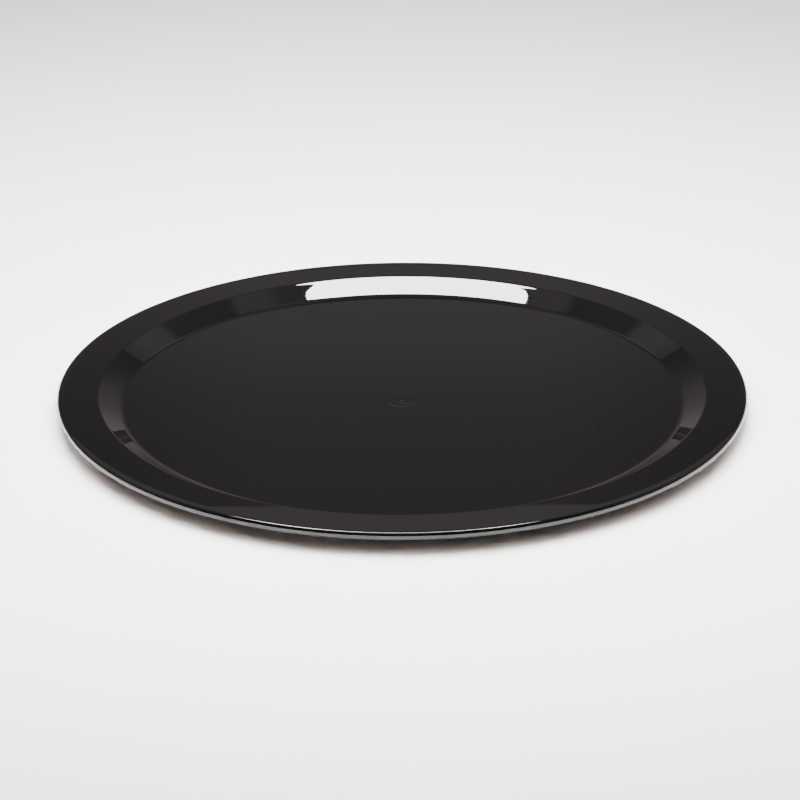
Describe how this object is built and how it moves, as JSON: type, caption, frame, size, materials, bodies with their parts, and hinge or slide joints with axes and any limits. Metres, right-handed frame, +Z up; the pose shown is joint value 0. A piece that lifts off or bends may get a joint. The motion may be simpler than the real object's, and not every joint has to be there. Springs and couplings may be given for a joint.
{
  "type": "serving tray",
  "caption": "Round gloss black serving tray: flat rim with a rounded lip, shallow sloping wall, flat floor, and soft non-slip feet underneath.",
  "frame": {"origin": "on the tray's axis, at the height of the feet's soles, which is the surface that the tray stands on", "axes": "+Z up along the tray's axis, out of the well. X and Y lie in the tray's plane. No direction in that plane is special, because the tray is round: two of the feet lie on the Y axis, and -Y is taken as the front."},
  "size_m": [0.4, 0.4, 0.014],
  "materials": {
    "gloss_black_moulding": "polished mould gloss",
    "soft_feet": "matt soft-touch"
  },
  "bodies": {
    "root": {"tray_shell": "gloss_black_moulding", "non_slip_foot_1": "soft_feet", "non_slip_foot_2": "soft_feet", "non_slip_foot_3": "soft_feet", "non_slip_foot_4": "soft_feet", "non_slip_foot_5": "soft_feet", "non_slip_foot_6": "soft_feet"}
  },
  "joints": []
}
